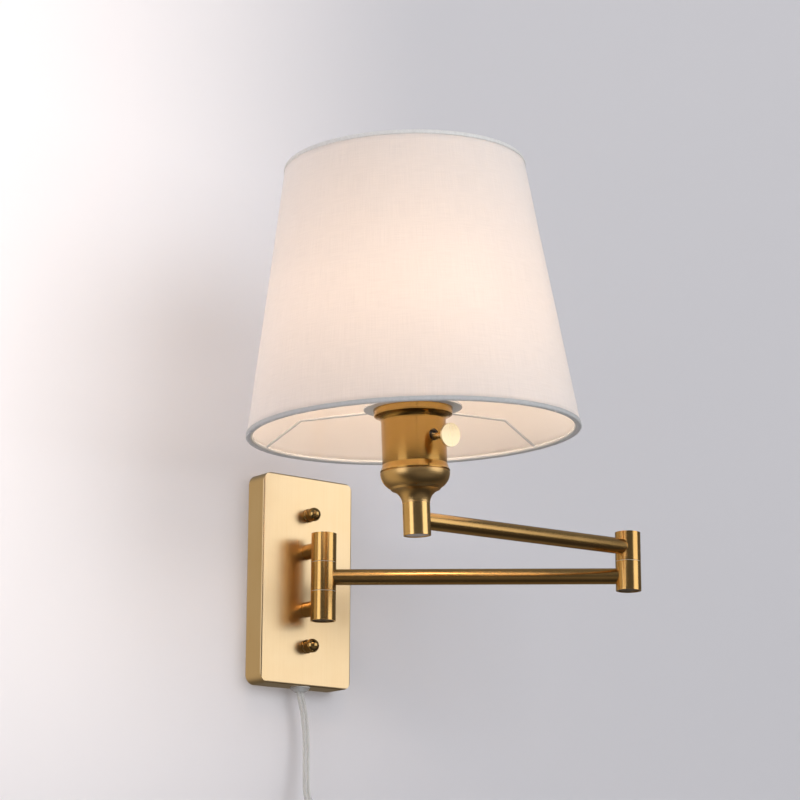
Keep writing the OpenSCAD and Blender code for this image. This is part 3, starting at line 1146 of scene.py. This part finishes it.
NODE_FINISHES: dict[Finish, tuple[str, ...]] = {
    PLATE_BRASS: ("backplate",),
    NUT_BRASS: ("cap_nuts",),
    PIVOT_BRASS: (
        "pivot_posts",
        "upper_pivot_knuckle",
        "lower_pivot_knuckle",
        "middle_pivot_knuckle",
        "elbow_lower_knuckle",
        "elbow_upper_knuckle",
    ),
    LOWER_ARM_BRASS: ("lower_arm_tube",),
    UPPER_ARM_BRASS: ("upper_arm_tube",),
    STEM_BRASS: ("stem",),
    HOLDER_BRASS: ("socket_shell",),
    CUP_BRASS: ("socket_cup",),
    KNOB_BRASS: ("switch_disc", "switch_shaft"),
    ZINC: ("wall_bracket", "bracket_studs", "post_nuts", "nipple_nut"),
    PIN_STEEL: ("pivot_pin", "elbow_pin"),
    DARK_CAP: ("pivot_end_caps", "elbow_bottom_cap", "elbow_top_cap"),
    PALE_CAP: ("stem_cap",),
    WHITE_METAL: (
        "fitter_ring", "shade_clamp_ring", "shade_spokes", "shade_bottom_ring", "shade_top_ring"
    ),
    THREADED_STEEL: ("socket_nipple",),
    LAMP_CAP: ("bulb_base",),
    SCREW_SHELL: ("screw_shell",),
    CONTACT_BRASS: ("centre_contact", "plug_blades"),
    NYLON: ("pivot_washers", "elbow_washer"),
    CONNECTOR: ("wire_connectors",),
    WIRE_SLEEVE: ("lower_arm_wire", "upper_arm_wire"),
    TIE: ("cord_tie",),
    BUSHING: ("strain_relief",),
    PHENOLIC: ("switch_block",),
    FIBRE: ("socket_insulator",),
    BULB_GLASS: ("bulb_glass",),
}


# ---- Studio ----


@dataclass(frozen=True)
class SoftBox:
    """One soft light: where it hangs, what it points at, and whether metal mirrors it."""

    name: str
    spot: tuple[float, float, float]
    size: tuple[float, float]
    power: float
    colour: Colour
    mirrored: bool = True
    aim: tuple[float, float, float] = (0.02, -0.12, 0.08)


@dataclass
class Studio:
    """The camera, lights, wall and floor."""

    azimuth: float = -37.63
    elevation: float = -14.02
    roll: float = 0.225
    distance: float = 1.9225
    target: tuple[float, float, float] = (0.03158, -0.100, 0.13803)
    lens: float = 109.08
    room_size: float = 3.0
    wall_gap: float = 0.6 * MM
    lamps: tuple[SoftBox, ...] = (
        SoftBox("light_front", (1.33, -2.15, 0.60), (2.0, 1.7), 14.8, (1.0, 0.985, 0.97)),
        SoftBox("light_left", (-2.1, -0.50, 0.25), (1.1, 1.9), 9.5, (1.0, 0.97, 0.95)),
        SoftBox("light_top", (0.3, -1.4, 2.4), (1.6, 1.2), 9.0, (0.97, 0.98, 1.0), False),
        SoftBox("light_room", (0.3, -3.2, 0.7), (2.4, 2.2), 53.0, (0.93, 0.97, 1.0), False),
        SoftBox(
            "light_wash", (-0.85, -0.55, 0.12), (0.4, 0.9), 1.7, (1.0, 0.95, 0.92), False,
            (-0.42, 0.0, 0.08),
        ),
    )

    def make_camera(self) -> None:
        """Sets the camera where the lamp is looked up at from its left."""
        azimuth, elevation = math.radians(self.azimuth), math.radians(self.elevation)
        back = Vector(
            (
                math.sin(azimuth) * math.cos(elevation),
                -math.cos(azimuth) * math.cos(elevation),
                math.sin(elevation),
            )
        )
        right = (-back).cross(Vector((0, 0, 1))).normalized()
        up = right.cross(-back)
        turn = Matrix((right, up, back)).transposed().to_quaternion()
        turn = turn @ Quaternion((0, 0, 1), math.radians(self.roll))
        data = bpy.data.cameras.new("camera")
        data.lens = self.lens
        camera = stand("camera", data)
        camera.rotation_mode = "QUATERNION"
        camera.rotation_quaternion = turn
        camera.location = Vector(self.target) + back * self.distance
        bpy.context.scene.camera = camera

    def make_lights(self) -> None:
        """Hangs the soft boxes and the world, paler above and warm behind the lamp's left."""
        for lamp in self.lamps:
            data = bpy.data.lights.new(lamp.name, "AREA")
            data.shape = "RECTANGLE"
            data.size, data.size_y = lamp.size
            data.energy, data.color = lamp.power, lamp.colour
            light = stand(lamp.name, data)
            light.location = lamp.spot
            aim = Vector(lamp.aim) - Vector(lamp.spot)
            light.rotation_euler = aim.to_track_quat("-Z", "Y").to_euler()
            light.visible_glossy = lamp.mirrored
        world = bpy.data.worlds.new("studio")
        world.use_nodes = True
        bpy.context.scene.world = world
        paint = Paint(world.node_tree)
        side, depth, height = paint.split(paint.node("ShaderNodeTexCoord", out="Generated"))
        front = (0.0 - depth).ramp(0.3, 0.9) * (0.0 - height).ramp(0.0, 0.4)
        low = paint.mix(front, (0.04, 0.036, 0.032), (0.18, 0.165, 0.15))
        sky = paint.mix(height.ramp(-0.5, 0.8), low, (0.16, 0.165, 0.175))
        glow = depth.ramp(-0.05, 0.35) * ((0.0 - side).ramp(-0.1, 0.6) * 0.8 + 0.2)
        sky = paint.mix(glow, sky, (0.54, 0.45, 0.31))
        paint.finish(
            paint.node("ShaderNodeBackground", {}, {"Color": sky, "Strength": 1.0}),
            "ShaderNodeOutputWorld",
        )
        bpy.context.scene.view_settings.view_transform = "Standard"

    def make_room(self) -> None:
        """Puts up the wall that the lamp hangs on, and a pale floor."""
        upright = Matrix.Rotation(math.radians(90), 4, "X")
        for name, turn, spot, finish in (
            ("wall", upright, (0, self.wall_gap, 0), WallPaint("wall_paint")),
            ("floor", Matrix.Identity(4), (0, -1.5, -1.5), FloorPaint("floor_paint")),
        ):
            mesh = bmesh.new()
            bmesh.ops.create_grid(mesh, x_segments=4, y_segments=4, size=self.room_size)
            bmesh.ops.transform(mesh, matrix=Matrix.Translation(spot) @ turn, verts=mesh.verts)
            data = bpy.data.meshes.new(name)
            mesh.to_mesh(data)
            mesh.free()
            data.materials.append(finish.material())
            stage = stand(name, data)
            stage.visible_glossy = False


# ---- Cord ----


@dataclass
class Cord:
    """The clear flat twin cord, from the plate's foot through its coil to the plug."""

    width: float = 6.5 * MM
    lobe: float = 1.7 * MM
    apart: float = 1.55 * MM
    web: float = 1.15 * MM
    strand_radius: float = 1.05 * MM
    coil_x: float = 4.0
    coil_z: float = -228.0
    first_turn: float = 33.0
    full_turns: int = 7
    entry_turn: float = 60.0
    entry_depth: float = -21.2
    edge_on: tuple[float, float] = (4.0, 38.0)
    flat_again: tuple[float, float] = (52.0, 46.0)
    radii: tuple[float, ...] = (32.1, 35.5, 38.9, 42.3)
    columns: tuple[float, float] = (-16.3, -9.7)
    column_order: tuple[int, ...] = (0, 1, 1, 0)
    length: float = 1.8
    route: tuple[tuple[float, float, float], ...] = (
        (0, -13, -78), (0, -13, -84), (0.4, -13, -90), (1.8, -13, -96), (3.6, -13, -102),
        (5, -13, -110), (6.1, -13, -119), (6.5, -13.2, -128), (6.3, -13.8, -138), (5.6, -15, -148),
        (4.4, -17, -157), (3, -19.4, -165), (3, -21.8, -172), (5.6, -23.2, -178.5),
        (10.6, -23.6, -185), (15.8, -23.6, -191), (21, -23.4, -197.4), (26.2, -22.8, -204),
    )
    tail: tuple[tuple[float, float, float], ...] = (
        (46.3, -15.6, -235), (46.3, -14, -243), (46.3, -13, -250),
    )

    def coil(self) -> list[Vector]:
        """Winds the stored length, clockwise from the front.

        Returns:
            Points every 10 degrees, in millimetres.
        """
        points = []
        swept = self.first_turn + 360 * self.full_turns
        for step in range(int(swept // 10) + 1):
            far = step * swept / int(swept // 10)
            turn, part = divmod(far / 360, 1.0)
            ease = eased((part - 0.85) / 0.15)
            now, then = int(turn), min(int(turn) + 1, self.full_turns)
            radius = self._between(self.radii[now // 2], self.radii[then // 2], ease)
            y = self._between(
                self.columns[self.column_order[now % 4]], self.columns[self.column_order[then % 4]], ease
            )
            if far < self.entry_turn:
                y = self._between(self.entry_depth, y, eased(far / self.entry_turn))
            angle = math.radians(self.first_turn - far)
            points.append(
                Vector(
                    ( self.coil_x + radius * math.cos(angle), y, self.coil_z + radius * math.sin(angle), )
                )
            )
        return points

    @staticmethod
    def _between(a: float, b: float, share: float) -> float:
        """Gives a number between two others."""
        return a + (b - a) * share

    def run(self) -> Run:
        """Lays out the whole cord.

        Returns:
            Its line, with its flat side to the front on the wall and edge on in the coil.
        """
        route = [Vector(p) for p in self.route]
        points = smooth_run([*route, *self.coil(), *map(Vector, self.tail)], 4.0)
        far, total, start = 0.0, line_length(points), line_length(route)
        wide = []
        for index, point in enumerate(points):
            before, after = points[max(index - 1, 0)], points[min(index + 1, len(points) - 1)]
            along = (after - before).normalized()
            flat = Vector((0, 1, 0)).cross(along).normalized()
            if flat.x < 0 and far < start:
                flat = -flat
            enter = eased((far - start - self.edge_on[0]) / self.edge_on[1])
            leave = eased((far - total + self.flat_again[0]) / self.flat_again[1])
            share = enter * (1 - leave)
            angle = share * math.pi / 2
            wide.append(flat * math.cos(angle) + Vector((0, 1, 0)) * math.sin(angle))
            if index < len(points) - 1:
                far += (points[index + 1] - point).length
        return Run([p * MM for p in points], wide)

    def sleeve_outline(self, turn: float) -> tuple[float, float]:
        """Finds a corner of the twin sleeve's waisted cross-section.

        Args:
            turn: Where the corner is, from 0 to 1.

        Returns:
            Its place across and through.
        """
        angle = math.tau * turn
        across = self.width / 2 * math.cos(angle)
        off = min(abs(abs(across) - self.apart), self.lobe)
        through = math.sqrt(max(self.lobe**2 - off**2, 0.0))
        if abs(across) < self.apart:
            through = max(through, self.web)
        level = abs(math.sin(angle)) <= MERGE_DISTANCE
        return across, 0.0 if level else math.copysign(through, math.sin(angle))

    def build(self) -> None:
        run = self.run()
        LOG.info("cord line: %.3f m in %d points", line_length(run.points), len(run.points))
        sleeve = new_piece(
            "cord_sleeve", tube(run, 22, self.sleeve_outline), Body.WALL, SLEEVE
        )
        for name, side in (("cord_wire_left", -1), ("cord_wire_right", 1)):
            wire = tube(run, 8, round_section(self.strand_radius, side * self.apart))
            new_piece(name, wire, Body.WALL, STRANDS)
        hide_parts("power_cord", "cord_coil", "cord_tail")
        plug = Plug().build()


@dataclass
class Plug:
    """The moulded two-blade plug, with a waisted grip and a ribbed neck."""

    depth: float = 25.0 * MM
    levels: int = 24
    neck: float = 14.0 * MM
    neck_radius: float = 6.3 * MM
    neck_taper: float = 2.1 * MM
    groove: float = 0.75 * MM
    overlap: float = 0.6 * MM

    @staticmethod
    def grip_outline(turn: float, wide: float, deep: float) -> tuple[float, float]:
        """Gives a corner of the grip's rounded cross-section."""
        across, through = math.cos(math.tau * turn), math.sin(math.tau * turn)
        return (
            wide * math.copysign(abs(across) ** 0.5, across),
            deep * math.copysign(abs(through) ** 0.5, through),
        )

    def build(self) -> bpy.types.Object:
        """Makes the plug.

        Returns:
            The plug's body.
        """
        low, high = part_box("plug_body")
        middle, size = (low + high) / 2, high - low
        spine = [
            Vector((middle.x, middle.y, low.z + self.depth * level / self.levels))
            for level in range(self.levels + 1)
        ]
        mesh = tube(
            Run(spine, [Vector((1, 0, 0)) for _ in spine]),
            48,
            lambda turn: self.grip_outline(turn, size.x / 2, size.y / 2),
        )
        for vert in mesh.verts:
            up = (vert.co.z - low.z) / self.depth
            ends = 1 - 0.12 * max(0.0, 1 - up / 0.08) ** 2 - 0.14 * max(0.0, (up - 0.9) / 0.1) ** 2
            waist = 0.15 * math.exp(-(((up - 0.46) / 0.2) ** 2))
            shoulder = 0.36 * max(0.0, (up - 0.68) / 0.32) ** 1.6
            vert.co.x = middle.x + (vert.co.x - middle.x) * (ends - waist - shoulder)
            vert.co.y = middle.y + (vert.co.y - middle.y) * (ends - 0.4 * waist - 0.3 * shoulder)
        ribbed = []
        for step in range(self.levels + 1):
            up = step / self.levels
            cut = self.groove if 1 < step < self.levels - 1 and step % 4 in (1, 2) else 0.0
            radius = self.neck_radius - self.neck_taper * up - cut
            ribbed.append((radius, low.z + self.depth - self.overlap + (self.neck + self.overlap) * up))
        ribbed = [(0.0, ribbed[0][1]), *ribbed, (0.0, ribbed[-1][1])]
        neck = spun(ribbed, 32, False)
        bmesh.ops.translate(neck, vec=(middle.x, middle.y, 0), verts=neck.verts)
        absorb(mesh, neck)
        plug = new_piece("plug_grip", mesh, Body.WALL, PLUG)
        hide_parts("plug_body")
        return plug


@dataclass
class PlateWires:
    """The wires behind the plate, from the cord to the arm's foot."""

    radius: float = 1.0 * MM

    def build(self) -> None:
        """Makes the four wires as one piece."""
        whole = bmesh.new()
        for side in (-1, 1):
            for path in (
                ((1.6, -13, -78), (3.5, -13, -74), (9, -12.6, -70.5), (16, -12, -70),
                 (21.5, -11.4, -67.5), (23, -11, -62), (23, -11, -53)),
                ((25, -11, -53), (25.4, -11, -62), (27, -11, -68), (31, -11, -69.5),
                 (34, -11, -65), (34.5, -11, -54), (33, -11, -34), (27, -11, -10),
                 (15, -11, 8), (5, -11.4, 19), (1.2, -13, 22.6), (1.2, -17, 23.2), (1.2, -30, 23.2)),
            ):
                points = smooth_run([Vector((side * x, y, z)) for x, y, z in path], 1.5)
                run = Run([p * MM for p in points], [Vector((0.02, 1, 0.05)) for _ in points])
                absorb(whole, tube(run, 10, round_section(self.radius)))
        wires = new_piece("plate_wires", whole, Body.WALL, WIRE_SLEEVE)
        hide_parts("lead_wires")


# ---- Shade ----


@dataclass
class Shade:
    """The tapered cloth shade with its rolled hems and its glued seam."""

    bottom_radius: float = 0.121
    top_radius: float = 0.0885
    height: float = 0.202
    lift: float = 0.0623
    thickness: float = 1.3 * MM
    around: int = 192
    rows: int = 28
    tape: float = 0.5 * MM
    tape_height: float = 3.2 * MM
    stray: float = 0.35 * MM
    sink: float = 0.25 * MM
    seam_heading: float = 262.0
    seam_width: float = 9.0 * MM

    def radius(self, up: float) -> float:
        """Gives the cloth's outer radius, a share up from its bottom."""
        return self.bottom_radius + (self.top_radius - self.bottom_radius) * up

    def place_cut(self, point: Vector) -> tuple[float, float]:
        """Finds a point's place on the flat cut: round at mid height, and up the slant.

        Args:
            point: The point, in the head's axes.

        Returns:
            Its place, in metres.
        """
        slant = math.hypot(self.height, self.bottom_radius - self.top_radius) / self.height
        turn = math.atan2(point.y, point.x) / (math.tau)
        return turn * math.tau * self.radius(0.5), (point.z - self.lift) * slant

    @staticmethod
    def outward(point: Vector) -> Vector:
        """Gives the level way from the shade's axis to a point."""
        return Vector((point.x, point.y, 0)).normalized()

    @staticmethod
    def faced_out(mesh: bmesh.types.BMesh) -> bmesh.types.BMesh:
        """Turns an open shape's faces outwards and puts it on the head.

        Args:
            mesh: The shape, in the head's axes.

        Returns:
            The same shape, in the frame's axes.
        """
        mesh.faces.ensure_lookup_table()
        mesh.normal_update()
        face = mesh.faces[0]
        if face.calc_center_median().xy.dot(face.normal.xy) < 0:
            bmesh.ops.reverse_faces(mesh, faces=mesh.faces)
        bmesh.ops.transform(mesh, matrix=HEAD_PLACE.matrix, verts=mesh.verts)
        return mesh

    def sheet_mesh(self) -> bmesh.types.BMesh:
        """Spins the cloth and lets it stray a little from a true cone.

        Returns:
            The open sheet.
        """
        outline = [
            (self.radius(row / self.rows), self.lift + self.height * row / self.rows)
            for row in range(self.rows + 1)
        ]
        mesh = spun(outline, self.around, False)
        for vert in mesh.verts:
            up = (vert.co.z - self.lift) / self.height
            free = 4 * up * (1 - up)
            stray = self.stray * free * noise.noise(vert.co * 14.0)
            vert.co += self.outward(vert.co) * (stray - self.sink * free)
        lay_cut(mesh, self.place_cut, math.tau * self.radius(0.5))
        bmesh.ops.recalc_face_normals(mesh, faces=mesh.faces)
        return self.faced_out(mesh)

    def hem_mesh(self, top: bool) -> bmesh.types.BMesh:
        """Rolls a hem over one of the shade's wires.

        Args:
            top: Whether it is the top hem.

        Returns:
            The hem.
        """
        up = 1.0 if top else 0.0
        edge, way = self.lift + self.height * up, -1.0 if top else 1.0
        slope = (self.top_radius - self.bottom_radius) / self.height
        tall, proud = self.tape_height, self.tape
        outline = []
        for out, rise in (
            (0.0, 1.0), (proud, 0.97), (proud * 1.05, 0.7), (proud * 1.05, 0.35),
            (proud * 0.8, 0.12), (0.0, 0.0), (-1.1 * MM, -0.07), (-2.3 * MM, -0.02),
            (-3.4 * MM, 0.16), (-4.1 * MM, 0.42), (-4.1 * MM, 0.66), (-3.5 * MM, 0.86),
            (-2.6 * MM, 0.96), (-1.7 * MM, 1.0),
        ):
            height = way * rise * tall
            outline.append((self.radius(up) + out + slope * height, edge + height))
        mesh = spun(outline, self.around, True)
        for vert in mesh.verts:
            side = self.outward(vert.co)
            pucker = noise.noise(Vector((side.x * 42, side.y * 42, vert.co.z * 300)))
            vert.co += side * (0.10 * MM * pucker) + Vector((0, 0, 0.07 * MM * pucker))
        lay_cut(
            mesh,
            lambda p: (
                math.atan2(p.y, p.x) * self.radius(up),
                (p.z - edge) + (self.radius(up) - math.hypot(p.x, p.y)),
            ),
            math.tau * self.radius(up),
        )
        bmesh.ops.transform(mesh, matrix=HEAD_PLACE.matrix, verts=mesh.verts)
        return mesh

    def seam_mesh(self) -> bmesh.types.BMesh:
        """Makes the strip of cloth that laps over itself at the shade's back.

        Returns:
            The strip.
        """
        mesh = bmesh.new()
        bmesh.ops.create_grid(mesh, x_segments=6, y_segments=24, size=1.0)
        for vert in mesh.verts:
            share, up = vert.co.x / 2, 0.022 + (vert.co.y + 1) / 2 * 0.956
            rim = self.radius(up) + (0.32 - 0.22 * abs(share * 2) ** 6) * MM
            angle = math.radians(self.seam_heading) + share * self.seam_width / rim
            vert.co = (rim * math.cos(angle), rim * math.sin(angle), self.lift + self.height * up)
        lay_cut(mesh, self.place_cut, math.tau * self.radius(0.5))
        return self.faced_out(mesh)

    def build(self) -> None:
        woven = ShadeCloth("shade_cloth")
        cloth = new_piece("shade_cloth", self.sheet_mesh(), Body.UPPER_ARM, woven, False)
        cloth.data.materials.append(ShadeLining("shade_lining").material())
        wall = cloth.modifiers.new("thickness", "SOLIDIFY")
        wall.thickness, wall.offset = self.thickness, -1.0
        wall.material_offset = 1
        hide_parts("shade_fabric", "shade_liner")
        for name, top, tape in (
            # The bottom hem takes the darker default tone as painted shade. The top hem keeps the tape's own
            # paler tone.
            ("shade_hem_bottom", False, HemTape("hem_tape")),
            ("shade_hem_top", True, HemTape("hem_tape_top", (0.80, 0.78, 0.77))),
        ):
            new_piece(name, self.hem_mesh(top), Body.UPPER_ARM, tape)
        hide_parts("shade_trim")
        seam = new_piece("shade_seam", self.seam_mesh(), Body.UPPER_ARM, woven, False)


# ---- Frame nodes ----


@dataclass
class Metalwork:
    """The frame's own nodes, each with its finish."""

    finishes: dict[Finish, tuple[str, ...]] = field(default_factory=lambda: NODE_FINISHES)

    def dress(self) -> None:
        """Gives every frame node that shows its finish."""
        for finish, names in self.finishes.items():
            for name in names:
                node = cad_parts[name]
                node.data.materials.clear()
                node.data.materials.append(finish.material())
                LOG.info("%s: %s", name, finish.name)


def main() -> None:
    """Builds the studio, the cord and every other piece."""
    logging.basicConfig(level=logging.INFO, format="%(name)s %(message)s")
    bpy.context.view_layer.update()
    studio = Studio()
    studio.make_camera()
    Cord().build()
    PlateWires().build()
    Metalwork().dress()
    Shade().build()
    studio.make_lights()
    studio.make_room()


if __name__ == "__main__":
    main()
